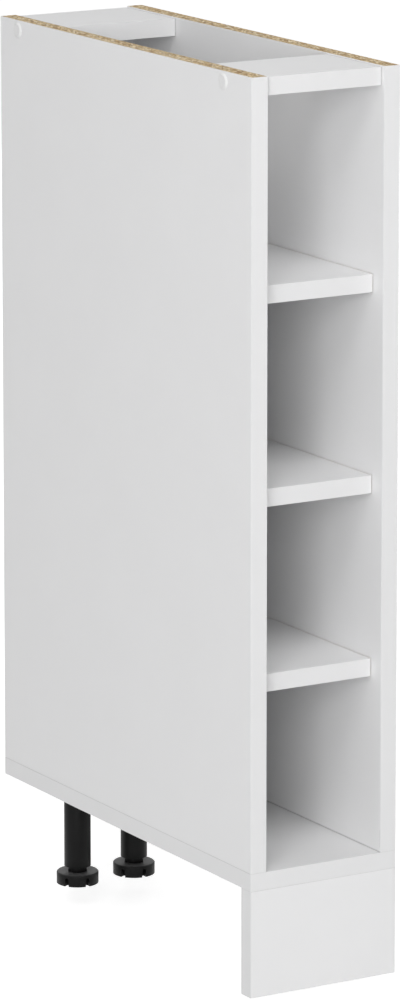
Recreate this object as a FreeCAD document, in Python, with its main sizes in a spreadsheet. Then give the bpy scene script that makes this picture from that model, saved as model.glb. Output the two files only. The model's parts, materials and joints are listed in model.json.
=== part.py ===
import FreeCAD, Part
import Sketcher
import math
import os
import re

# A narrow open base unit of white melamine-faced chipboard. Two sides stand on a bottom panel,
# two flat rails join them at the top, and three loose shelves lie on pins. The front stands on a
# plinth board and the rear on two adjustable legs.
# Millimetres. X runs across the unit, Y from its front to its back and Z up from the floor.
# The origin is on the floor, under the middle of the unit.

DIMENSIONS = {
    # carcass
    "unit_width": 150,
    "carcass_height": 720,
    "side_depth": 448,
    "panel_thickness": 16,
    "band_thickness": 0.8,
    "plinth_height": 97,
    # back panel, held in a groove
    "back_thickness": 3,
    "back_rear_offset": 12,
    "groove_depth": 7,
    "groove_clearance": 0.2,
    # top rails
    "rail_width": 90,
    "rail_drop": 1.2,
    "front_rail_setback": 5,
    # shelves: each rise is from the top of what lies below to the top of the shelf
    "shelf_setback": 16.5,
    "shelf_rear_gap": 4.5,
    "shelf_end_gap": 0.7,
    "lower_shelf_rise": 173.5,
    "middle_shelf_rise": 165.5,
    "upper_shelf_rise": 179.7,
    # shelf pins
    "pin_diameter": 5,
    "pin_peg_length": 9,
    "pin_shoulder": 0.5,
    "pin_tongue_length": 8,
    "pin_tongue_width": 7,
    "pin_tip_thickness": 1.8,
    "pin_front_offset": 50,
    "pin_rear_offset": 56,
    # connecting screws, driven with a hexagon key
    "screw_length": 50,
    "screw_head_diameter": 10,
    "screw_head_height": 3,
    "screw_shank_diameter": 7,
    "screw_core_diameter": 5.2,
    "screw_key_width": 4,
    "screw_key_depth": 3,
    "front_rail_screw_inset": 43,
    "rear_rail_screw_inset": 33,
    "bottom_screw_inset": 60,
    # caps over the rail screws
    "cap_diameter": 15.5,
    "cap_height": 1.2,
    "cap_top_diameter": 11,
    "cap_peg_length": 2.2,
    # dowels
    "dowel_diameter": 8,
    "dowel_length": 30,
    "dowel_face_depth": 10,
    "rail_dowel_spacing": 30,
    "bottom_dowel_inset": 130,
    "plinth_dowel_spacing": 40,
    # angle brackets behind the plinth
    "bracket_inset": 30,
    "bracket_leg": 25,
    "bracket_width": 20,
    "bracket_thickness": 2,
    "bracket_screw_reach": 15,
    # wood screws of the brackets and the legs
    "wood_screw_length": 14,
    "wood_screw_diameter": 3.8,
    "wood_screw_head_diameter": 7.5,
    "wood_screw_head_height": 2.2,
    # legs
    "leg_spacing": 61,
    "leg_rear_offset": 59.5,
    "leg_diameter": 25,
    "mount_plate_width": 58,
    "mount_plate_thickness": 3.5,
    "mount_corner_radius": 8,
    "mount_collar_wall": 3.5,
    "mount_collar_length": 12,
    "mount_screw_spacing": 42,
    "mount_rib_thickness": 2.4,
    "mount_rib_height": 8,
    "mount_rib_margin": 4,
    # feet that screw into the legs
    "stem_diameter": 17.4,
    "stem_engagement": 42,
    "foot_lift": 7,
    "neck_gap": 5.4,
    "pad_diameter": 39.5,
    "pad_height": 11,
    "pad_chamfer": 0.8,
    "pad_floor_thickness": 2.5,
    "notch_width": 4,
    "notch_height": 8,
    "notch_depth": 5,
    "notch_shoulder": 1.5,
    # clearances, each on one side of a fit
    "fit_clearance": 0.05,
    "running_clearance": 0.05,
    "hole_end_clearance": 0.5,
}
SIDES = {"left": -1, "right": 1}
FOOT_NOTCHES = 6
MOUNT_CORNERS = 4
# hidden shanks and bores are plain prisms, and screw heads have more sides
SHANK_SIDES = 8
HEAD_SIDES = 12
KEY_SIDES = 6
# the first notch of each foot, in degrees from +X, as the feet happen to be turned
FOOT_TURN = 29.5

# Places that several pieces share, as formulas in the sheet's words
FRONT = "(-side_depth / 2)"
REAR = f"({FRONT} + side_depth)"
OUTER = "(unit_width / 2)"
INNER = f"({OUTER} - panel_thickness)"
SIDE_MIDDLE = f"({OUTER} - panel_thickness / 2)"
UNDERSIDE = "plinth_height"
FLOOR_TOP = f"({UNDERSIDE} + panel_thickness)"
TOP = f"({UNDERSIDE} + carcass_height)"
RAIL_TOP = f"({TOP} - rail_drop)"
RAIL_MIDDLE = f"({RAIL_TOP} - panel_thickness / 2)"
FRONT_RAIL_FRONT = f"({FRONT} + front_rail_setback)"
REAR_RAIL_FRONT = f"({REAR} - rail_width)"
BACK_FRONT = f"({REAR} - back_rear_offset - back_thickness)"
SHELF_FRONT = f"({FRONT} + shelf_setback)"
SHELF_REAR = f"({BACK_FRONT} - shelf_rear_gap)"
LOWER_SHELF_TOP = f"({FLOOR_TOP} + lower_shelf_rise)"
MIDDLE_SHELF_TOP = f"({LOWER_SHELF_TOP} + middle_shelf_rise)"
UPPER_SHELF_TOP = f"({MIDDLE_SHELF_TOP} + upper_shelf_rise)"
SHELF_TOPS = {"upper": UPPER_SHELF_TOP, "middle": MIDDLE_SHELF_TOP, "lower": LOWER_SHELF_TOP}
PLINTH_REAR = f"({FRONT} + panel_thickness)"
BRACKET_X = f"({OUTER} - bracket_inset)"
LEG_Y = f"({REAR} - leg_rear_offset)"
MOUNT_UNDERSIDE = f"({UNDERSIDE} - mount_plate_thickness)"
LEG_BOTTOM = "(pad_height + neck_gap)"

RIGHTWARD = FreeCAD.Vector(1, 0, 0)
REARWARD = FreeCAD.Vector(0, 1, 0)
UPWARD = FreeCAD.Vector(0, 0, 1)
HALF_TURN = FreeCAD.Rotation(RIGHTWARD, 180)

doc = FreeCAD.newDocument("shelf_unit")
sheet = doc.addObject("Spreadsheet::Sheet", "dims")
for row, (alias, size) in enumerate(DIMENSIONS.items(), 1):
    sheet.set(f"A{row}", alias)
    sheet.set(f"B{row}", str(size))
    sheet.setAlias(f"B{row}", alias)
doc.recompute()

pieces = []


def bind(thing, name, formula):
    """Tie a property to a formula in the sheet's words."""
    thing.setExpression(name, re.sub("[a-z][a-z_]*", lambda word: "dims." + word.group(), formula))


def put(thing, x, y, z):
    """Tie a thing's place to three formulas."""
    for axis, formula in zip("xyz", (x, y, z)):
        bind(thing, "Placement.Base." + axis, formula)


def keep(piece):
    """Add a finished piece to those that are written out."""
    pieces.append(piece)
    return piece


def origin_feature(body, role):
    """One of a body's own origin planes or axes."""
    return next(feature for feature in body.Origin.OriginFeatures if feature.Role == role)


def slab(name, x, y, z):
    """A rectangular block from the low to the high formula along each axis."""
    block = doc.addObject("Part::Box", name)
    for side, (low, high) in zip(("Length", "Width", "Height"), (x, y, z)):
        bind(block, side, f"({high}) - ({low})")
    put(block, x[0], y[0], z[0])
    return block


def drilled(name, block, *holes):
    """A block with groups of holes cut out of it."""
    tools = doc.addObject("Part::Compound", name + "_holes")
    tools.Links = holes
    cut = doc.addObject("Part::Cut", name)
    cut.Base = block
    cut.Tool = tools
    return cut


def new_sketch(body, name, role):
    """An empty sketch on one of a body's origin planes."""
    sketch = body.newObject("Sketcher::SketchObject", name)
    sketch.AttachmentSupport = [(origin_feature(body, role), "")]
    sketch.MapMode = "FlatFace"
    return sketch


def hold(sketch, line, point, across, up):
    """Hold a sketch point at two formulas, or on an axis where a formula is 0."""
    drawn = sketch.getPoint(line, point)
    for kind, formula, axis, start in (("DistanceX", across, -2, drawn.x), ("DistanceY", up, -1, drawn.y)):
        if formula == "0":
            sketch.addConstraint(Sketcher.Constraint("PointOnObject", line, point, axis))
            continue
        index = sketch.addConstraint(Sketcher.Constraint(kind, -1, 1, line, point, start))
        bind(sketch, f"Constraints[{index}]", formula)


def draw(sketch, corners):
    """A closed outline of straight lines through corners that are held by formulas."""
    count = len(corners)
    for line in range(count):
        start, end = (
            FreeCAD.Vector(math.cos(2 * math.pi * corner / count), math.sin(2 * math.pi * corner / count), 0)
            for corner in (line, line + 1)
        )
        sketch.addGeometry(Part.LineSegment(start, end))
    for line in range(count):
        sketch.addConstraint(Sketcher.Constraint("Coincident", line, 2, (line + 1) % count, 1))
    for line, (across, up) in enumerate(corners):
        hold(sketch, line, 1, across, up)


def turned(name, corners):
    """A turned piece: a half outline of (radius, height) corners, revolved about Z."""
    body = doc.addObject("PartDesign::Body", name)
    outline = new_sketch(body, name + "_outline", "XZ_Plane")
    draw(outline, corners)
    turn = body.newObject("PartDesign::Revolution", name + "_turn")
    turn.Profile = outline
    turn.ReferenceAxis = (outline, ["V_Axis"])
    turn.Angle = 360
    return body


def copies(name, master, places):
    """One group of copies of a piece, each at (x, y, z, rotation)."""
    links = []
    for number, (x, y, z, rotation) in enumerate(places, 1):
        link = doc.addObject("App::Link", f"{name}_{number}")
        link.LinkedObject = master
        link.Placement = FreeCAD.Placement(FreeCAD.Vector(), rotation)
        put(link, x, y, z)
        links.append(link)
    group = doc.addObject("Part::Compound", name)
    group.Links = links
    return group


def fasten(name, fastener, hole, places):
    """Copies of a fastener, kept as one piece, and the group of holes that they sit in."""
    keep(copies(name, fastener, places))
    return copies(name + "_seats", hole, places)


def pointing(direction):
    """The rotation that turns a fastener's Z axis to a direction."""
    return FreeCAD.Rotation(UPWARD, direction)


def along_x(sign):
    """The rotation that points a fastener to the right (1) or to the left (-1)."""
    return pointing(RIGHTWARD * sign)


# Fasteners, each with its head at Z 0 and its point at +Z, and the holes that they sit in

def prism(body, kind, name, sides, radius, low, high):
    """Add a regular prism along Z to a body, or take it away."""
    stage = body.newObject("PartDesign::" + kind, name)
    stage.Polygon = sides
    bind(stage, "Circumradius", radius)
    bind(stage, "Height", f"({high}) - ({low})")
    put(stage, "0", "0", low)
    return stage


def faceted(name, *stages):
    """A straight piece along Z, made of prisms that are each (sides, radius, low, high)."""
    body = doc.addObject("PartDesign::Body", name)
    for number, stage in enumerate(stages, 1):
        prism(body, "AdditivePrism", f"{name}_stage_{number}", *stage)
    return body


def connecting_screw():
    """A flush-headed screw with a plain shank through the first panel and a core in the second."""
    screw = faceted(
        "connecting_screw",
        (HEAD_SIDES, "screw_head_diameter / 2", "0", "screw_head_height"),
        (SHANK_SIDES, "screw_shank_diameter / 2", "screw_head_height", "panel_thickness"),
        (SHANK_SIDES, "screw_core_diameter / 2", "panel_thickness", "screw_length"),
    )
    key_radius = f"screw_key_width / {2 * math.cos(math.pi / KEY_SIDES)}"
    prism(screw, "SubtractivePrism", "connecting_screw_key", KEY_SIDES, key_radius, "0", "screw_key_depth")
    return screw


def connecting_screw_hole():
    """A counterbored hole, open outwards, a little wider and deeper than the screw."""
    return faceted(
        "connecting_screw_hole",
        (HEAD_SIDES, "screw_head_diameter / 2 + fit_clearance", "-hole_end_clearance", "screw_head_height"),
        (SHANK_SIDES, "screw_shank_diameter / 2 + fit_clearance", "screw_head_height", "panel_thickness"),
        (SHANK_SIDES, "screw_core_diameter / 2 + fit_clearance", "panel_thickness",
         "screw_length + hole_end_clearance"),
    )


def dowel():
    """A beech dowel."""
    return faceted("dowel", (SHANK_SIDES, "dowel_diameter / 2", "0", "dowel_length"))


def dowel_hole():
    """The dowel's two facing holes as one bore, deeper at both ends."""
    return faceted("dowel_hole", (SHANK_SIDES, "dowel_diameter / 2 + fit_clearance", "-hole_end_clearance",
                                  "dowel_length + hole_end_clearance"))


def wood_screw():
    """A wood screw, with the underside of its head at Z 0."""
    return faceted(
        "wood_screw",
        (HEAD_SIDES, "wood_screw_head_diameter / 2", "-wood_screw_head_height", "0"),
        (SHANK_SIDES, "wood_screw_diameter / 2", "0", "wood_screw_length"),
    )


def wood_screw_hole():
    """The bore of a wood screw, below its head."""
    return faceted("wood_screw_hole", (SHANK_SIDES, "wood_screw_diameter / 2 + fit_clearance", "0",
                                       "wood_screw_length + hole_end_clearance"))


def screw_cap():
    """A low cap with a sloping rim, on a six-sided peg that plugs into the screw's key hole.

    Z points outwards.
    """
    cap = turned("screw_cap", [
        ("0", "0"),
        ("cap_diameter / 2", "0"),
        ("cap_top_diameter / 2", "cap_height"),
        ("0", "cap_height"),
    ])
    peg_radius = f"(screw_key_width - 2 * fit_clearance) / {2 * math.cos(math.pi / KEY_SIDES)}"
    prism(cap, "AdditivePrism", "screw_cap_peg", KEY_SIDES, peg_radius, "-cap_peg_length", "0")
    return cap


def shelf_pin():
    """A pin with a peg along Z, into the side, and a wedge-shaped tongue whose top is flat."""
    radius = "pin_diameter / 2"
    body = faceted("shelf_pin", (SHANK_SIDES, radius, "0", "pin_peg_length"))
    flank = new_sketch(body, "shelf_pin_flank", "YZ_Plane")
    draw(flank, [
        (f"{radius} + pin_shoulder", "0"),
        (f"{radius} + pin_shoulder", "-pin_tongue_length"),
        (f"{radius} + pin_shoulder - pin_tip_thickness", "-pin_tongue_length"),
        (f"-{radius} - pin_shoulder", "0"),
    ])
    tongue = body.newObject("PartDesign::Pad", "shelf_pin_tongue")
    tongue.Profile = flank
    tongue.Midplane = True
    bind(tongue, "Length", "pin_tongue_width")
    return body


def shelf_pin_hole():
    """The peg's hole in a side."""
    return faceted("shelf_pin_hole", (SHANK_SIDES, "pin_diameter / 2 + fit_clearance", "-hole_end_clearance",
                                      "pin_peg_length + hole_end_clearance"))


def pin_rotation(sign):
    """Point a pin's peg into the left (-1) or the right (1) side, with its flat top up."""
    peg = RIGHTWARD * sign
    return FreeCAD.Rotation(UPWARD.cross(peg), UPWARD, peg)


# Where the fasteners go

SCREW = connecting_screw()
SCREW_HOLE = connecting_screw_hole()
DOWEL = dowel()
DOWEL_HOLE = dowel_hole()
WOOD_SCREW = wood_screw()
WOOD_SCREW_HOLE = wood_screw_hole()

RAIL_SCREW_ROWS = [
    f"({FRONT_RAIL_FRONT} + front_rail_screw_inset)",
    f"({REAR} - rear_rail_screw_inset)",
]
RAIL_DOWEL_ROWS = [
    f"{RAIL_SCREW_ROWS[0]} + rail_dowel_spacing",
    f"{RAIL_SCREW_ROWS[1]} - rail_dowel_spacing",
]

rail_screw_holes = fasten("rail_screws", SCREW, SCREW_HOLE, [
    (f"{sign} * {OUTER}", row, RAIL_MIDDLE, along_x(-sign))
    for sign in SIDES.values() for row in RAIL_SCREW_ROWS
])
rail_dowel_holes = fasten("rail_dowels", DOWEL, DOWEL_HOLE, [
    (f"{sign} * ({INNER} + dowel_face_depth)", row, RAIL_MIDDLE, along_x(-sign))
    for sign in SIDES.values() for row in RAIL_DOWEL_ROWS
])
bottom_screw_holes = fasten("bottom_screws", SCREW, SCREW_HOLE, [
    (f"{sign} * {SIDE_MIDDLE}", row, UNDERSIDE, pointing(UPWARD))
    for sign in SIDES.values()
    for row in (f"{FRONT} + bottom_screw_inset", f"{REAR} - bottom_screw_inset")
])
bottom_dowel_holes = fasten("bottom_dowels", DOWEL, DOWEL_HOLE, [
    (f"{sign} * {SIDE_MIDDLE}", row, f"{FLOOR_TOP} - dowel_face_depth", pointing(UPWARD))
    for sign in SIDES.values()
    for row in (f"{FRONT} + bottom_dowel_inset", f"{REAR} - bottom_dowel_inset")
])
plinth_dowel_holes = fasten("plinth_dowels", DOWEL, DOWEL_HOLE, [
    (f"{sign} * plinth_dowel_spacing / 2", f"{FRONT} + panel_thickness / 2",
     f"{UNDERSIDE} + dowel_face_depth", HALF_TURN)
    for sign in SIDES.values()
])
bracket_screw_holes = fasten("bracket_screws", WOOD_SCREW, WOOD_SCREW_HOLE, [
    place
    for sign in SIDES.values()
    for place in (
        (f"{sign} * {BRACKET_X}", f"{PLINTH_REAR} + bracket_screw_reach",
         f"{UNDERSIDE} - bracket_thickness", pointing(UPWARD)),
        (f"{sign} * {BRACKET_X}", f"{PLINTH_REAR} + bracket_thickness",
         f"{UNDERSIDE} - bracket_screw_reach", pointing(-REARWARD)),
    )
])
leg_screw_holes = fasten("leg_screws", WOOD_SCREW, WOOD_SCREW_HOLE, [
    (f"{side} * leg_spacing / 2 + {across} * mount_screw_spacing / 2",
     f"{LEG_Y} + {along} * mount_screw_spacing / 2", MOUNT_UNDERSIDE, pointing(UPWARD))
    for side in SIDES.values() for across in (-1, 1) for along in (-1, 1)
])
keep(copies("screw_caps", screw_cap(), [
    (f"{sign} * {OUTER}", row, RAIL_MIDDLE, along_x(sign))
    for sign in SIDES.values() for row in RAIL_SCREW_ROWS
]))

SHELF_PIN = shelf_pin()
SHELF_PIN_HOLE = shelf_pin_hole()
shelf_pin_holes = [
    fasten(f"{level}_shelf_pins", SHELF_PIN, SHELF_PIN_HOLE, [
        (f"{sign} * {INNER}", row,
         f"{shelf_top} - panel_thickness - pin_shoulder - pin_diameter / 2", pin_rotation(sign))
        for sign in SIDES.values()
        for row in (f"{FRONT} + pin_front_offset", f"{REAR} - pin_rear_offset")
    ])
    for level, shelf_top in SHELF_TOPS.items()
]

# Panels, each cut back by the thickness of the bands on its edges

BAND_BACK = f"({FRONT} + band_thickness)"
BANDED_WIDTH = (f"-{OUTER} + band_thickness", f"{OUTER} - band_thickness")
FULL_WIDTH = (f"-{OUTER}", OUTER)
CLEAR_WIDTH = (f"-{INNER}", INNER)
SIDE_SPANS = {"left": (f"-{OUTER}", f"-{INNER}"), "right": (INNER, OUTER)}
SHELF_WIDTH = (f"-{INNER} + shelf_end_gap", f"{INNER} - shelf_end_gap")
FRONT_BAND_DEPTH = (FRONT, BAND_BACK)
BOTTOM_LEVEL = (UNDERSIDE, FLOOR_TOP)
SIDE_LEVEL = (FLOOR_TOP, TOP)
RAIL_LEVEL = (f"{RAIL_TOP} - panel_thickness", RAIL_TOP)
PLINTH_DEPTH = (FRONT, PLINTH_REAR)
PLINTH_LEVEL = ("0", UNDERSIDE)

back_spans = [
    (f"-{INNER} - groove_depth", f"{INNER} + groove_depth"),
    (BACK_FRONT, f"{BACK_FRONT} + back_thickness"),
    (f"{FLOOR_TOP} - groove_depth", f"{RAIL_TOP} - panel_thickness + groove_depth"),
]
back_groove = slab("back_groove", *back_spans)
keep(slab("back_panel", *(
    (f"{low} + groove_clearance", f"{high} - groove_clearance") if across else (low, high)
    for across, (low, high) in zip((True, False, True), back_spans)
)))

for side, span in SIDE_SPANS.items():
    panel = slab(f"{side}_side_blank", span, (BAND_BACK, REAR), SIDE_LEVEL)
    keep(drilled(f"{side}_side_panel", panel, rail_screw_holes, rail_dowel_holes, bottom_screw_holes,
                 bottom_dowel_holes, back_groove, *shelf_pin_holes))
    keep(slab(f"{side}_side_front_band", span, FRONT_BAND_DEPTH, SIDE_LEVEL))

bottom_blank = slab("bottom_blank", BANDED_WIDTH, (BAND_BACK, REAR), BOTTOM_LEVEL)
keep(drilled("bottom_panel", bottom_blank, bottom_screw_holes, bottom_dowel_holes, plinth_dowel_holes,
             bracket_screw_holes, leg_screw_holes, back_groove))
keep(slab("bottom_front_band", FULL_WIDTH, FRONT_BAND_DEPTH, BOTTOM_LEVEL))
for side, edge in zip(SIDES, ((FULL_WIDTH[0], BANDED_WIDTH[0]), (BANDED_WIDTH[1], FULL_WIDTH[1]))):
    keep(slab(f"bottom_{side}_band", edge, (BAND_BACK, REAR), BOTTOM_LEVEL))
    keep(slab(f"plinth_{side}_band", edge, PLINTH_DEPTH, PLINTH_LEVEL))

for end, rail_front, cuts in (("front", FRONT_RAIL_FRONT, []), ("rear", REAR_RAIL_FRONT, [back_groove])):
    rail_band_back = f"{rail_front} + band_thickness"
    rail = slab(f"{end}_rail_blank", CLEAR_WIDTH, (rail_band_back, f"{rail_front} + rail_width"), RAIL_LEVEL)
    keep(drilled(f"{end}_top_rail", rail, rail_screw_holes, rail_dowel_holes, *cuts))
    keep(slab(f"{end}_rail_band", CLEAR_WIDTH, (rail_front, rail_band_back), RAIL_LEVEL))

for level, shelf_top in SHELF_TOPS.items():
    shelf_level = (f"{shelf_top} - panel_thickness", shelf_top)
    shelf_band_back = f"{SHELF_FRONT} + band_thickness"
    keep(slab(f"{level}_shelf", SHELF_WIDTH, (shelf_band_back, SHELF_REAR), shelf_level))
    keep(slab(f"{level}_shelf_band", SHELF_WIDTH, (SHELF_FRONT, shelf_band_back), shelf_level))

# Plinth board and the brackets behind it

plinth_blank = slab("plinth_blank", BANDED_WIDTH, PLINTH_DEPTH, PLINTH_LEVEL)
keep(drilled("plinth_board", plinth_blank, plinth_dowel_holes, bracket_screw_holes))


def plinth_bracket(side, sign):
    """A steel angle under the bottom panel, against the back of the plinth."""
    name = f"{side}_plinth_bracket"
    middle = f"{sign} * {BRACKET_X}"
    width = (f"{middle} - bracket_width / 2", f"{middle} + bracket_width / 2")
    upper_leg = slab(name + "_upper_leg", width, (PLINTH_REAR, f"{PLINTH_REAR} + bracket_leg"),
                     (f"{UNDERSIDE} - bracket_thickness", UNDERSIDE))
    rear_leg = slab(name + "_rear_leg", width, (PLINTH_REAR, f"{PLINTH_REAR} + bracket_thickness"),
                    (f"{UNDERSIDE} - bracket_leg", UNDERSIDE))
    angle = doc.addObject("Part::Fuse", name + "_angle")
    angle.Base = upper_leg
    angle.Tool = rear_leg
    return drilled(name, angle, bracket_screw_holes)


# Legs

def leg_mount(name):
    """A moulded flange with a ribbed socket. Its own Z points down from the bottom panel."""
    body = doc.addObject("PartDesign::Body", name)
    plate = body.newObject("PartDesign::AdditiveBox", name + "_plate")
    bind(plate, "Length", "mount_plate_width")
    bind(plate, "Width", "mount_plate_width")
    bind(plate, "Height", "mount_plate_thickness")
    put(plate, "-mount_plate_width / 2", "-mount_plate_width / 2", "0")
    doc.recompute()
    corners = body.newObject("PartDesign::Fillet", name + "_corners")
    spans = [edge.BoundBox for edge in plate.Shape.Edges]
    corners.Base = (plate, [
        f"Edge{number}" for number, span in enumerate(spans, 1) if span.ZLength > span.XLength + span.YLength
    ])
    bind(corners, "Radius", "mount_corner_radius")
    collar = body.newObject("PartDesign::AdditiveCylinder", name + "_collar")
    bind(collar, "Radius", "leg_diameter / 2 + mount_collar_wall")
    bind(collar, "Height", "mount_plate_thickness + mount_collar_length")
    outline = new_sketch(body, name + "_rib_outline", "XZ_Plane")
    draw(outline, [
        ("leg_diameter / 2 + mount_collar_wall / 2", "mount_plate_thickness / 2"),
        ("mount_plate_width / 2 - mount_rib_margin", "mount_plate_thickness / 2"),
        ("mount_plate_width / 2 - mount_rib_margin", "mount_plate_thickness"),
        ("leg_diameter / 2 + mount_collar_wall", "mount_plate_thickness + mount_rib_height"),
        ("leg_diameter / 2 + mount_collar_wall / 2", "mount_plate_thickness + mount_rib_height"),
    ])
    rib = body.newObject("PartDesign::Pad", name + "_rib")
    rib.Profile = outline
    rib.Midplane = True
    bind(rib, "Length", "mount_rib_thickness")
    repeat(body, rib, MOUNT_CORNERS)
    socket = body.newObject("PartDesign::SubtractiveCylinder", name + "_socket")
    bind(socket, "Radius", "leg_diameter / 2 + fit_clearance")
    bind(socket, "Height", "mount_collar_length + hole_end_clearance")
    put(socket, "0", "0", "mount_plate_thickness")
    hole = prism(body, "SubtractivePrism", name + "_screw_hole", SHANK_SIDES,
                 "wood_screw_diameter / 2 + fit_clearance", "0", "mount_plate_thickness")
    put(hole, "mount_screw_spacing / 2", "mount_screw_spacing / 2", "0")
    repeat(body, hole, MOUNT_CORNERS)
    return body


def repeat(body, feature, count):
    """Repeat a feature round its body's Z axis."""
    doc.recompute()
    pattern = body.newObject("PartDesign::PolarPattern", feature.Name + "_pattern")
    pattern.Originals = [feature]
    pattern.Axis = (origin_feature(body, "Z_Axis"), [""])
    pattern.Angle = 360
    pattern.Occurrences = count
    body.Tip = pattern
    doc.recompute()


def leg_tube(name):
    """The leg's tube, with the bore that the foot's stem screws into. Its own Z 0 is its lower rim."""
    radius = "leg_diameter / 2"
    bore = "stem_diameter / 2 + running_clearance"
    bore_end = "stem_engagement + foot_lift"
    length = f"{MOUNT_UNDERSIDE} - {LEG_BOTTOM}"
    return turned(name, [
        (bore, "0"),
        (radius, "0"),
        (radius, length),
        ("0", length),
        ("0", bore_end),
        (bore, bore_end),
    ])


def foot_stem(name):
    """The foot's stem, from the floor of the pad's socket up into the tube."""
    radius = "stem_diameter / 2"
    length = f"{LEG_BOTTOM} - pad_floor_thickness + stem_engagement"
    return turned(name, [
        ("0", "0"),
        (radius, "0"),
        (radius, length),
        ("0", length),
    ])


def foot_pad(name):
    """The foot's pad: a moulded disc round the stem, with arched notches in its rim to turn it by."""
    radius = "pad_diameter / 2"
    bore = "stem_diameter / 2 + running_clearance"
    body = turned(name, [
        ("0", "pad_floor_thickness"),
        (bore, "pad_floor_thickness"),
        (bore, "pad_height"),
        (f"{radius} - pad_chamfer", "pad_height"),
        (radius, "pad_height - pad_chamfer"),
        (radius, "0"),
        ("0", "0"),
    ])
    arch = new_sketch(body, name + "_arch", "YZ_Plane")
    bind(arch, "AttachmentOffset.Base.z", f"{radius} - notch_depth")
    draw(arch, [
        ("notch_width / 2", "-hole_end_clearance"),
        ("notch_width / 2", "notch_height - notch_shoulder"),
        ("notch_width / 2 - notch_shoulder / 2", "notch_height"),
        ("notch_shoulder / 2 - notch_width / 2", "notch_height"),
        ("-notch_width / 2", "notch_height - notch_shoulder"),
        ("-notch_width / 2", "-hole_end_clearance"),
    ])
    notch = body.newObject("PartDesign::Pocket", name + "_notch")
    notch.Profile = arch
    notch.Reversed = True
    bind(notch, "Length", "2 * notch_depth")
    repeat(body, notch, FOOT_NOTCHES)
    body.Placement = FreeCAD.Placement(FreeCAD.Vector(), FreeCAD.Rotation(UPWARD, FOOT_TURN))
    return body


for side, sign in SIDES.items():
    keep(plinth_bracket(side, sign))
    leg_x = f"{sign} * leg_spacing / 2"
    mount = keep(leg_mount(f"{side}_leg_mount"))
    mount.Placement = FreeCAD.Placement(FreeCAD.Vector(), HALF_TURN)
    put(mount, leg_x, LEG_Y, UNDERSIDE)
    put(keep(leg_tube(f"{side}_leg_tube")), leg_x, LEG_Y, LEG_BOTTOM)
    put(keep(foot_stem(f"{side}_foot_stem")), leg_x, LEG_Y, "pad_floor_thickness")
    put(keep(foot_pad(f"{side}_foot_pad")), leg_x, LEG_Y, "0")

doc.recompute()
for thing in doc.Objects:
    if {"Invalid", "Error"} & set(thing.State):
        raise RuntimeError(f"{thing.Label} failed: {thing.State}")
for piece in pieces:
    if piece.Shape.isNull() or not piece.Shape.isValid():
        raise RuntimeError(f"{piece.Label} has no valid shape")

os.makedirs("parts", exist_ok=True)
for piece in pieces:
    piece.Shape.exportStep(f"parts/{piece.Label}.step")
    print(piece.Label, len(piece.Shape.Solids), round(piece.Shape.Volume))
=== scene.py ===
import bpy
import json
import math
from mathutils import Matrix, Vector


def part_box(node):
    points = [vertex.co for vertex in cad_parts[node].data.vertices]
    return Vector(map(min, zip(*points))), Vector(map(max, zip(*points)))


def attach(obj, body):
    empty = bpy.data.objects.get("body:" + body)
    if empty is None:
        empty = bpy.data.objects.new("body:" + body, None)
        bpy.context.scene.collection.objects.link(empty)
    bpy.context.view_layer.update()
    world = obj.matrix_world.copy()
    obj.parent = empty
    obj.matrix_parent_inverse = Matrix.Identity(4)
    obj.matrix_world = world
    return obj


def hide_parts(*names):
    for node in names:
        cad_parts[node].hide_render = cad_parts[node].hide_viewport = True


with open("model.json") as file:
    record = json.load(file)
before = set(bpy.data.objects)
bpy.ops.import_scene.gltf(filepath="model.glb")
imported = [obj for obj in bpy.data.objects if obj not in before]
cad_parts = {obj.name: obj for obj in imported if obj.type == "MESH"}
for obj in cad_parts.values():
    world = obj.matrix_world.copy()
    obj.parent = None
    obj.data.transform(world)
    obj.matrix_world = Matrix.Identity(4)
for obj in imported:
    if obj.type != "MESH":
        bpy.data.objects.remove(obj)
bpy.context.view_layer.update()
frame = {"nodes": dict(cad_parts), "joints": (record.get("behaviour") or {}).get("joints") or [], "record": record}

# A narrow white base unit on a pale studio floor. Metres. X runs to the right, Y to the back and Z up.

nodes = frame["nodes"]
subparts = frame["record"]["subparts"]
joints = {joint["name"]: joint for joint in frame["joints"]}
MM = 0.001
X, Y, Z = range(3)
SIDES = ("left", "right")


# Helpers for shaders

# places of the vector and colour sockets among those of a Mix node
VECTOR_FIRST, VECTOR_SECOND, VECTOR_RESULT = 4, 5, 1
COLOUR_FIRST, COLOUR_SECOND, COLOUR_RESULT = 6, 7, 2
RAMP_MIDDLE = 0.5


def new_material(name):
    """A material with a Principled shader, and that shader."""
    material = bpy.data.materials.new(name)
    material.use_nodes = True
    return material, material.node_tree.nodes["Principled BSDF"]


def fill(material, node, sockets):
    """Set a node's sockets to numbers and colours, or join them to other sockets."""
    for key, value in sockets.items():
        if isinstance(value, bpy.types.NodeSocket):
            material.node_tree.links.new(value, node.inputs[key])
        else:
            node.inputs[key].default_value = value


def add(material, kind, sockets=None, **settings):
    """Add a shader node, with its settings and what its sockets hold or are joined to."""
    node = material.node_tree.nodes.new("ShaderNode" + kind)
    for key, setting in settings.items():
        setattr(node, key, setting)
    fill(material, node, sockets or {})
    return node


def sums(material, operation, *numbers):
    """One step of arithmetic on numbers or sockets."""
    return add(material, "Math", dict(enumerate(numbers)), operation=operation).outputs["Value"]


def along(material, vector, axis):
    """One axis of a vector."""
    return add(material, "SeparateXYZ", {"Vector": vector}).outputs[axis]


def shade(level, tint=(1.0, 1.0, 1.0)):
    """A grey with a tint, as a colour with alpha."""
    return (level * tint[0], level * tint[1], level * tint[2], 1.0)


def ramp(material, factor, stops):
    """A colour ramp of (place, colour) stops."""
    node = add(material, "ValToRGB", {"Fac": factor})
    elements = node.color_ramp.elements
    while len(elements) < len(stops):
        elements.new(RAMP_MIDDLE)
    for element, (place, colour) in zip(elements, stops):
        element.position = place
        element.color = colour
    return node.outputs["Color"]


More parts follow.
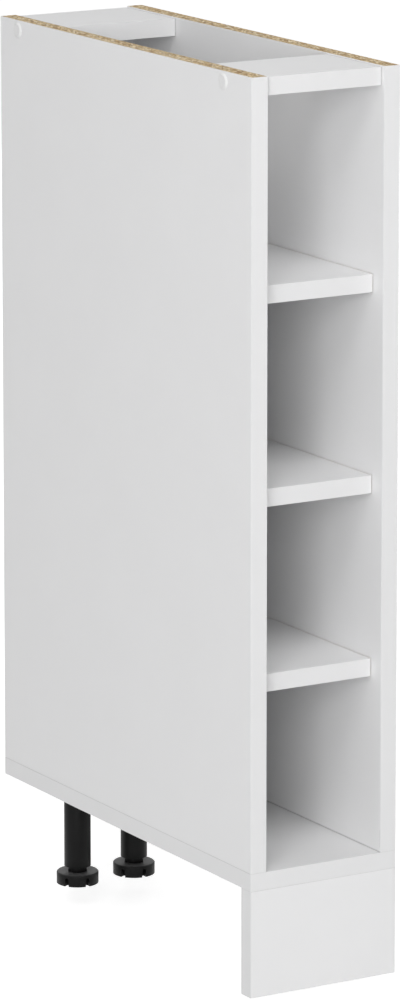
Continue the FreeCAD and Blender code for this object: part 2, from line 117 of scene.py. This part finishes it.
def mixed(material, factor, first, second):
    """A blend of two colours."""
    sockets = {"Factor": factor, COLOUR_FIRST: first, COLOUR_SECOND: second}
    return add(material, "Mix", sockets, data_type="RGBA").outputs[COLOUR_RESULT]


def mixed_normal(material, factor, first, second):
    """A blend of two normals."""
    sockets = {"Factor": factor, VECTOR_FIRST: first, VECTOR_SECOND: second}
    return add(material, "Mix", sockets, data_type="VECTOR").outputs[VECTOR_RESULT]


def spread(material, factor, low, high):
    """A number between low and high where factor runs from 0 to 1."""
    node = add(material, "MapRange", {"Value": factor, "To Min": low, "To Max": high})
    return node.outputs["Result"]


def noise(material, place, scale, detail=2.0):
    """A noise number. Its scale counts the patches in one unit of the place."""
    node = add(material, "TexNoise", {"Vector": place, "Scale": scale, "Detail": detail})
    return node.outputs["Fac"]


def bump(material, height, strength, depth):
    """A bumped normal from a height."""
    sockets = {"Height": height, "Strength": strength, "Distance": depth}
    return add(material, "Bump", sockets).outputs["Normal"]


# Painted shade: dark lines where boards meet

# painted shade reaches this far from another board, down to this grey, by this share
JOINT_REACH = 1.8 * MM
JOINT_SHADE = 0.32
JOINT_SHARE = 0.6
JOINT_SAMPLES = 8
# the lowest stretch of a side, which stands on the bottom panel
SIDE_FOOT = 20.0 * MM


def painted_shade_at_joints(material, colour, share):
    """A colour with painted shade that darkens it, by a share, within a hair's width of another board."""
    around = add(material, "AmbientOcclusion", {"Distance": JOINT_REACH}, samples=JOINT_SAMPLES)
    closeness = sums(material, "SUBTRACT", 1.0, around.outputs["AO"])
    return mixed(material, sums(material, "MULTIPLY", closeness, share), colour, shade(JOINT_SHADE))


def side_painted_shade_zones(material, place):
    """1 where a side gets painted shade, where it meets other boards at its foot and inside beside the rails, and
    0 elsewhere.
    """
    panel_low, panel_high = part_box("right_side_panel")
    rail_low, rail_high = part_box("front_top_rail")
    panel_middle = (panel_low + panel_high) / 2
    rail_middle = (rail_low + rail_high) / 2
    height = along(material, place, Z)
    at_foot = sums(material, "LESS_THAN", height, panel_low.z + SIDE_FOOT)
    at_rails = sums(material, "COMPARE", height, rail_middle.z, rail_high.z - rail_middle.z)
    off_centre = sums(material, "ABSOLUTE", along(material, place, X))
    is_inner = sums(material, "LESS_THAN", off_centre, panel_middle.x)
    return sums(material, "MAXIMUM", at_foot, sums(material, "MULTIPLY", at_rails, is_inner))


# White faces and edge bands

WHITE_TINT = (1.0, 1.0, 1.005)
WHITE_SPECULAR = 0.15
FACE_LEVEL = 0.84
BAND_LEVEL = 0.8


def clouded_white(material, place, scale, level, swing):
    """A white that drifts in patches, by a small swing to each side of its level."""
    lower = shade(level - swing, WHITE_TINT)
    upper = shade(level + swing, WHITE_TINT)
    return mixed(material, noise(material, place, scale), lower, upper)


def uneven_gloss(material, place, scale, low, high):
    """A roughness that drifts in patches between low and high."""
    return spread(material, noise(material, place, scale), low, high)


def white_face(material, place):
    """Colour, roughness and normal of a white melamine face with a fine pearl grain."""
    colour = clouded_white(material, place, scale=14.0, level=FACE_LEVEL, swing=0.012)
    roughness = uneven_gloss(material, place, scale=55.0, low=0.5, high=0.6)
    grain = noise(material, place, scale=1300.0, detail=4.0)
    return colour, roughness, bump(material, grain, strength=0.12, depth=0.08 * MM)


def edge_band(name, painted_joint_shade):
    """A smooth white edge band, with painted shade where its board meets others, or without it on a loose board.
    """
    material, shader = new_material(name)
    place = add(material, "TexCoord").outputs["Object"]
    white = clouded_white(material, place, scale=20.0, level=BAND_LEVEL, swing=0.008)
    if painted_joint_shade:
        # painted shade where the band meets other boards
        white = painted_shade_at_joints(material, white, JOINT_SHARE)
    grain = noise(material, place, scale=900.0, detail=3.0)
    fill(material, shader, {
        "Base Color": white,
        "Roughness": uneven_gloss(material, place, scale=70.0, low=0.36, high=0.46),
        "Specular IOR Level": WHITE_SPECULAR,
        "Normal": bump(material, grain, strength=0.08, depth=0.06 * MM),
    })
    return material


# Melamine-faced chipboard

FLAKES_PER_METRE = 170.0
FLAKES_PER_METRE_THROUGH = 640.0
# how many bends, and how many fine flakes, come to one coarse flake
BENDS_PER_FLAKE = 0.35
FINE_PER_FLAKE = 2.6
# where the outer layers of fine flakes start, from the middle, as a share of the thickness
FINE_LAYER = 0.3
FLAKE_COLOURS = (
    (0.0, (0.38, 0.24, 0.115, 1.0)),
    (0.18, (0.63, 0.45, 0.245, 1.0)),
    (0.45, (0.85, 0.67, 0.395, 1.0)),
    (0.75, (0.93, 0.785, 0.52, 1.0)),
    (1.0, (0.95, 0.86, 0.66, 1.0)),
)
CRACK_COLOUR = shade(0.24, (1.0, 0.64, 0.36))
# how quickly the dark of a crack gives way to the flakes beside it
CRACK_STEEPNESS = 6.0
# a face is an edge where its normal has less than this share along the panel's thin axis
EDGE_FACING = 0.35
RAW_EXTRA_ROUGHNESS = 0.35


def chipboard(material, place, generated, thin):
    """Colour and normal of raw chipboard: flakes that lie along the panel, finer near its faces."""
    stretch = [FLAKES_PER_METRE] * 3
    stretch[thin] = FLAKES_PER_METRE_THROUGH
    flakes = add(material, "Mapping", {"Vector": place, "Scale": stretch}).outputs["Vector"]
    wander = add(material, "TexNoise", {"Vector": flakes, "Scale": BENDS_PER_FLAKE}).outputs["Color"]
    bent = add(material, "VectorMath", {0: flakes, 1: wander}, operation="ADD").outputs["Vector"]
    coarse = add(material, "TexVoronoi", {"Vector": bent, "Scale": 1.0}).outputs["Color"]
    fine = add(material, "TexVoronoi", {"Vector": bent, "Scale": FINE_PER_FLAKE}).outputs["Color"]
    from_middle = sums(material, "SUBTRACT", along(material, generated, thin), 0.5)
    in_layer = sums(material, "GREATER_THAN", sums(material, "ABSOLUTE", from_middle), FINE_LAYER)
    picked = mixed(material, in_layer, coarse, fine)
    pick = add(material, "SeparateColor", {"Color": picked}).outputs["Red"]
    colour = ramp(material, pick, FLAKE_COLOURS)
    cells = add(material, "TexVoronoi", {"Vector": bent, "Scale": 1.0}, feature="DISTANCE_TO_EDGE")
    from_crack = sums(material, "MULTIPLY", cells.outputs["Distance"], CRACK_STEEPNESS)
    colour = mixed(material, sums(material, "MINIMUM", from_crack, 1.0), CRACK_COLOUR, colour)
    return colour, bump(material, pick, strength=0.5, depth=0.3 * MM)


def melamine(name, thin, painted_joint_shade):
    """White melamine on the faces across the panel's thin axis and raw chipboard on its other edges.

    The white gets painted shade, a little darker, where the panel meets others: all over, as a side does, or
    nowhere.
    """
    material, shader = new_material(name)
    coordinates = add(material, "TexCoord").outputs
    place = coordinates["Object"]
    white, roughness, white_normal = white_face(material, place)
    # painted shade where the panel meets other boards
    if painted_joint_shade == "all over":
        white = painted_shade_at_joints(material, white, JOINT_SHARE)
    if painted_joint_shade == "as a side":
        white = painted_shade_at_joints(material, white, side_painted_shade_zones(material, place))
    raw, raw_normal = chipboard(material, place, coordinates["Generated"], thin)
    facing = sums(material, "ABSOLUTE", along(material, coordinates["Normal"], thin))
    is_edge = sums(material, "LESS_THAN", facing, EDGE_FACING)
    fill(material, shader, {
        "Base Color": mixed(material, is_edge, white, raw),
        "Roughness": sums(material, "MULTIPLY_ADD", is_edge, RAW_EXTRA_ROUGHNESS, roughness),
        "Specular IOR Level": WHITE_SPECULAR,
        "Normal": mixed_normal(material, is_edge, white_normal, raw_normal),
    })
    return material


# Other materials

HARDBOARD_BROWNS = ((0.3, (0.15, 0.085, 0.042, 1.0)), (0.7, (0.29, 0.18, 0.098, 1.0)))
# a face is the back panel's front where its normal has less than this along Y
FRONT_FACING = -0.5
BEECH_BROWNS = ((0.35, (0.40, 0.24, 0.12, 1.0)), (0.65, (0.62, 0.43, 0.25, 1.0)))
ZINC_GREYS = ((0.3, (0.42, 0.43, 0.45, 1.0)), (0.7, (0.62, 0.63, 0.64, 1.0)))
SCRATCHES_PER_METRE = (90.0, 2600.0, 2600.0)
PLASTIC_ROUGHNESS_SWING = 0.12
# how quickly the dust and painted highlight on plastic thin out as a face turns away from the top
DUST_AND_HIGHLIGHT_FALL_OFF = 4.0


def hardboard(name):
    """Hardboard with white lacquer on its front and plain brown on its other faces."""
    material, shader = new_material(name)
    coordinates = add(material, "TexCoord").outputs
    place = coordinates["Object"]
    is_front = sums(material, "LESS_THAN", along(material, coordinates["Normal"], Y), FRONT_FACING)
    fibres = noise(material, place, scale=420.0, detail=5.0)
    brown = ramp(material, fibres, HARDBOARD_BROWNS)
    fill(material, shader, {
        "Base Color": mixed(material, is_front, brown, shade(FACE_LEVEL, WHITE_TINT)),
        "Roughness": uneven_gloss(material, place, scale=60.0, low=0.45, high=0.6),
        "Normal": bump(material, fibres, strength=0.15, depth=0.1 * MM),
    })
    return material


def beech(name):
    """Beech with fine dark flecks."""
    material, shader = new_material(name)
    place = add(material, "TexCoord").outputs["Object"]
    grain = noise(material, place, scale=500.0, detail=6.0)
    fill(material, shader, {
        "Base Color": ramp(material, grain, BEECH_BROWNS),
        "Roughness": spread(material, grain, low=0.5, high=0.7),
        "Normal": bump(material, grain, strength=0.2, depth=0.2 * MM),
    })
    return material


def zinc(name):
    """Zinc-plated steel, faintly clouded and scratched."""
    material, shader = new_material(name)
    place = add(material, "TexCoord").outputs["Object"]
    cloud = noise(material, place, scale=260.0, detail=4.0)
    drawn_out = add(material, "Mapping", {"Vector": place, "Scale": SCRATCHES_PER_METRE})
    scratches = noise(material, drawn_out.outputs["Vector"], scale=1.0)
    fill(material, shader, {
        "Base Color": ramp(material, cloud, ZINC_GREYS),
        "Metallic": 1.0,
        "Roughness": spread(material, cloud, low=0.26, high=0.42),
        "Normal": bump(material, scratches, strength=0.06, depth=0.05 * MM),
    })
    return material


def moulding(name, low, high, dust_and_highlight_grey, roughness, specular, grain_strength):
    """A moulded plastic with a fine spark-eroded grain, and a paler tone where it faces up: dust, and a painted
    highlight on its tops.
    """
    material, shader = new_material(name)
    coordinates = add(material, "TexCoord").outputs
    place = coordinates["Object"]
    grain = noise(material, place, scale=1500.0, detail=3.0)
    cloud = noise(material, place, scale=90.0, detail=3.0)
    plain = mixed(material, cloud, shade(low), shade(high))
    facing_up = sums(material, "MAXIMUM", along(material, coordinates["Normal"], Z), 0.0)
    # dust and painted highlight: faces that look up turn towards a paler grey
    dust_and_highlight = sums(material, "POWER", facing_up, DUST_AND_HIGHLIGHT_FALL_OFF)
    fill(material, shader, {
        "Base Color": mixed(material, dust_and_highlight, plain, shade(dust_and_highlight_grey)),
        "Roughness": spread(material, cloud, roughness, roughness + PLASTIC_ROUGHNESS_SWING),
        "Specular IOR Level": specular,
        "Normal": bump(material, grain, grain_strength, depth=0.08 * MM),
    })
    return material


# Which piece has which material

cap_plastic = moulding(
    "cap_plastic", low=0.79, high=0.81, dust_and_highlight_grey=0.8,
    roughness=0.4, specular=0.2, grain_strength=0.05,
)
# the paler grey on the tops of the black feet is dust and a painted highlight
leg_plastic = moulding(
    "leg_plastic", low=0.004, high=0.007, dust_and_highlight_grey=0.085,
    roughness=0.36, specular=0.12, grain_strength=0.25,
)
finishes = {
    "hardboard": hardboard("back_hardboard"),
    "beech": beech("dowel_beech"),
    "zinc_steel": zinc("zinc_steel"),
    "white_plastic": cap_plastic,
    "black_plastic": leg_plastic,
    # these boards get painted shade where they meet others
    "white_edge_band": edge_band("edge_band", painted_joint_shade=True),
    "white_melamine": melamine("flat_melamine", thin=Z, painted_joint_shade="all over"),
}
side_white = melamine("side_melamine", thin=X, painted_joint_shade="as a side")
shelf_white = melamine("shelf_melamine", thin=Z, painted_joint_shade="nowhere")
shelf_band_white = edge_band("shelf_band", painted_joint_shade=False)
panels = {
    "left_side_panel": side_white,
    "right_side_panel": side_white,
    "plinth_board": melamine("plinth_melamine", thin=Y, painted_joint_shade="all over"),
}
for level in ("upper", "middle", "lower"):
    panels[f"{level}_shelf"] = shelf_white
    panels[f"{level}_shelf_band"] = shelf_band_white
for piece in subparts:
    node = nodes[piece["node"]]
    node.data.materials.clear()
    node.data.materials.append(panels.get(piece["node"], finishes[piece["material_slot"]]))


# Small roundings on the edges of the CAD pieces

WELD_REACH = 0.002 * MM
BAND_ROUNDING = 0.25 * MM
PANEL_ROUNDING = 0.35 * MM
LEG_ROUNDING = 0.35 * MM
# edges that turn by more than these angles, in degrees, are rounded
PANEL_EDGE_ANGLE = 50.0
LEG_EDGE_ANGLE = 40.0
# edges that turn by more than these angles, in degrees, are shaded crisply
LEG_CRISP_ANGLE = 35.0
CAP_CRISP_ANGLE = 15.0


def join_corners(name):
    """Join the faces of an imported piece at their shared corners."""
    weld = nodes[name].modifiers.new("weld", "WELD")
    weld.merge_threshold = WELD_REACH


def round_edges(name, width, steps, angle):
    """Round a piece's sharp edges by a small width."""
    join_corners(name)
    bevel = nodes[name].modifiers.new("rounding", "BEVEL")
    bevel.width = width
    bevel.segments = steps
    bevel.limit_method = "ANGLE"
    bevel.angle_limit = math.radians(angle)


def smooth_round(name, crisp_angle):
    """Shade a round piece smoothly across its narrow facets, and crisply at steeper edges."""
    for face in nodes[name].data.polygons:
        face.use_smooth = True
    split = nodes[name].modifiers.new("crisp_edges", "EDGE_SPLIT")
    split.split_angle = math.radians(crisp_angle)


for piece in subparts:
    if piece["material_slot"] in ("white_edge_band", "hardboard"):
        round_edges(piece["node"], BAND_ROUNDING, steps=2, angle=PANEL_EDGE_ANGLE)
    if piece["material_slot"] == "white_melamine":
        round_edges(piece["node"], PANEL_ROUNDING, steps=1, angle=PANEL_EDGE_ANGLE)
for side in SIDES:
    for name in ("leg_tube", "foot_pad"):
        round_edges(f"{side}_{name}", LEG_ROUNDING, steps=2, angle=LEG_EDGE_ANGLE)
        smooth_round(f"{side}_{name}", LEG_CRISP_ANGLE)
    join_corners(f"{side}_leg_mount")
    smooth_round(f"{side}_leg_mount", LEG_CRISP_ANGLE)
join_corners("screw_caps")
smooth_round("screw_caps", CAP_CRISP_ANGLE)


# Threads on the stems of the feet

THREAD_PITCH = 4.0 * MM
THREAD_DEPTH = 0.9 * MM
# over 0.5 leaves the crests and the roots of the thread flat
FLANK_STEEPNESS = 0.8
STEPS_ROUND = 48
STEPS_PER_PITCH = 12


def clamp(number):
    """A number held between 0 and 1."""
    return min(max(number, 0.0), 1.0)


def thread_cut(level, angle):
    """How deep a right-handed rounded thread is cut, from 0 to 1, at a height and an angle."""
    phase = 2 * math.pi * level / THREAD_PITCH - angle
    return clamp(0.5 - FLANK_STEEPNESS * math.cos(phase))


def threaded_stem(side):
    """A foot's stem with a plain neck at its lower end and a thread that runs out towards it."""
    stem_node = f"{side}_foot_stem"
    low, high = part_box(stem_node)
    middle = (low + high) / 2
    crest = (high.x - low.x) / 2
    neck_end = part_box(f"{side}_leg_tube")[0].z
    rows = math.floor((high.z - neck_end) / THREAD_PITCH * STEPS_PER_PITCH)
    levels = [low.z] + [neck_end + (high.z - neck_end) * row / rows for row in range(rows + 1)]
    points = []
    for level in levels:
        run_out = clamp((level - neck_end) / THREAD_PITCH)
        for step in range(STEPS_ROUND):
            angle = 2 * math.pi * step / STEPS_ROUND
            radius = crest - THREAD_DEPTH * run_out * thread_cut(level, angle)
            x = middle.x + radius * math.cos(angle)
            y = middle.y + radius * math.sin(angle)
            points.append((x, y, level))
    top_ring = len(points) - STEPS_ROUND
    ends = [tuple(reversed(range(STEPS_ROUND))), tuple(range(top_ring, len(points)))]
    walls = []
    for ring in range(0, top_ring, STEPS_ROUND):
        for step in range(STEPS_ROUND):
            here = ring + step
            ahead = ring + (step + 1) % STEPS_ROUND
            walls.append((here, ahead, ahead + STEPS_ROUND, here + STEPS_ROUND))
    mesh = bpy.data.meshes.new(f"{side}_threaded_stem")
    mesh.from_pydata(points, [], ends + walls)
    mesh.materials.append(finishes["black_plastic"])
    for face in mesh.polygons[len(ends):]:
        face.use_smooth = True
    stem = bpy.data.objects.new(f"{side}_threaded_stem", mesh)
    bpy.context.scene.collection.objects.link(stem)
    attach(stem, stem_node)
    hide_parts(stem_node)


for side in SIDES:
    threaded_stem(side)


# Floor and background

FLOOR_SIZE = 60.0
FLOOR_WHITE = 0.8
FLOOR_ROUGHNESS = 0.9
# how much of the floor's white is its own, near the unit, where its shadow falls, and further off
FLOOR_LIFT_NEAR = 0.62
FLOOR_LIFT_FAR = 0.72
NEAR_REACH = 0.6
FAR_REACH = 2.5
# the floor lies just below the feet when they are screwed out as far as they go
FLOOR_GAP = 0.1 * MM
SKY_LIGHT = 0.37


def level_square(name, size, height):
    """A level square round the origin, at a height."""
    half = size / 2
    corners = [(-half, -half, 0), (half, -half, 0), (half, half, 0), (-half, half, 0)]
    mesh = bpy.data.meshes.new(name)
    mesh.from_pydata(corners, [], [range(len(corners))])
    square = bpy.data.objects.new(name, mesh)
    square.location.z = height
    bpy.context.scene.collection.objects.link(square)
    return square


def seen_directly(material):
    """1 for what the camera sees itself, mirrored or through glass, and 0 for what lights a surface."""
    path = add(material, "LightPath").outputs
    direct = sums(material, "MAXIMUM", path["Is Camera Ray"], path["Is Glossy Ray"])
    return sums(material, "MAXIMUM", direct, path["Is Transmission Ray"])


def floor_white(name):
    """A matt white that keeps a shadow near the unit and fades into the background further off."""
    material, shader = new_material(name)
    spot = add(material, "NewGeometry").outputs["Position"]
    away = add(material, "VectorMath", {0: spot}, operation="LENGTH").outputs["Value"]
    lift = add(material, "MapRange", {
        "Value": away,
        "From Min": NEAR_REACH,
        "From Max": FAR_REACH,
        "To Min": FLOOR_LIFT_NEAR,
        "To Max": FLOOR_LIFT_FAR,
    }).outputs["Result"]
    fill(material, shader, {
        "Base Color": shade(FLOOR_WHITE),
        "Roughness": FLOOR_ROUGHNESS,
        "Specular IOR Level": 0.0,
        "Emission Color": shade(1.0),
        "Emission Strength": sums(material, "MULTIPLY", seen_directly(material), lift),
    })
    return material


foot_reach = max(joints["left_foot_height"]["range_m"])
floor = level_square("floor", FLOOR_SIZE, -foot_reach - FLOOR_GAP)
floor.data.materials.append(floor_white("floor_white"))

world = bpy.data.worlds.new("studio")
bpy.context.scene.world = world
world.use_nodes = True
fill(world, world.node_tree.nodes["Background"], {
    "Color": shade(1.0),
    "Strength": spread(world, seen_directly(world), low=SKY_LIGHT, high=1.0),
})


# Lights and camera

UNIT_MIDDLE = Vector((0, -0.1, 0.45))
CAMERA_PLACE = (-2.528, -4.288, 1.526)
# how far the camera looks down, and how far it turns to the right of straight ahead, in degrees
CAMERA_DIP = 9.96
CAMERA_TURN = 30.58
# the lens and the sensor in millimetres, and the shift as a share of the sensor
CAMERA_LENS = 201.0
CAMERA_SENSOR = 36.0
CAMERA_SHIFT = -0.28
VIEW_END = 200.0


def area_light(name, place, size, watts, mirrored=True):
    """A square soft light that points at the middle of the unit, and is mirrored in it or not."""
    data = bpy.data.lights.new(name, "AREA")
    data.size = size
    data.energy = watts
    light = bpy.data.objects.new(name, data)
    light.location = place
    light.rotation_euler = (UNIT_MIDDLE - Vector(place)).to_track_quat("-Z", "Y").to_euler()
    light.visible_glossy = mirrored
    bpy.context.scene.collection.objects.link(light)


area_light("key_light", place=(-2.7, -3.5, 1.6), size=2.0, watts=82.0)
area_light("high_front_light", place=(-0.4, -2.2, 3.6), size=1.5, watts=27.0)
area_light("high_left_light", place=(-2.4, -2.0, 3.4), size=1.5, watts=21.5)
area_light("top_light", place=(-0.3, -0.3, 4.0), size=3.0, watts=3.5)
area_light("back_light", place=(2.8, 3.2, 1.8), size=2.6, watts=40.0, mirrored=False)
area_light("right_light", place=(3.4, 0.7, 0.5), size=1.6, watts=14.0, mirrored=False)

camera_data = bpy.data.cameras.new("camera")
camera_data.lens = CAMERA_LENS
camera_data.sensor_width = CAMERA_SENSOR
camera_data.shift_y = CAMERA_SHIFT
camera_data.clip_end = VIEW_END
camera = bpy.data.objects.new("camera", camera_data)
camera.location = CAMERA_PLACE
camera.rotation_euler = (math.radians(90.0 - CAMERA_DIP), 0.0, math.radians(-CAMERA_TURN))
bpy.context.scene.collection.objects.link(camera)
bpy.context.scene.camera = camera
bpy.context.scene.view_settings.view_transform = "Standard"


# Bring the scene up to date

bpy.context.view_layer.update()
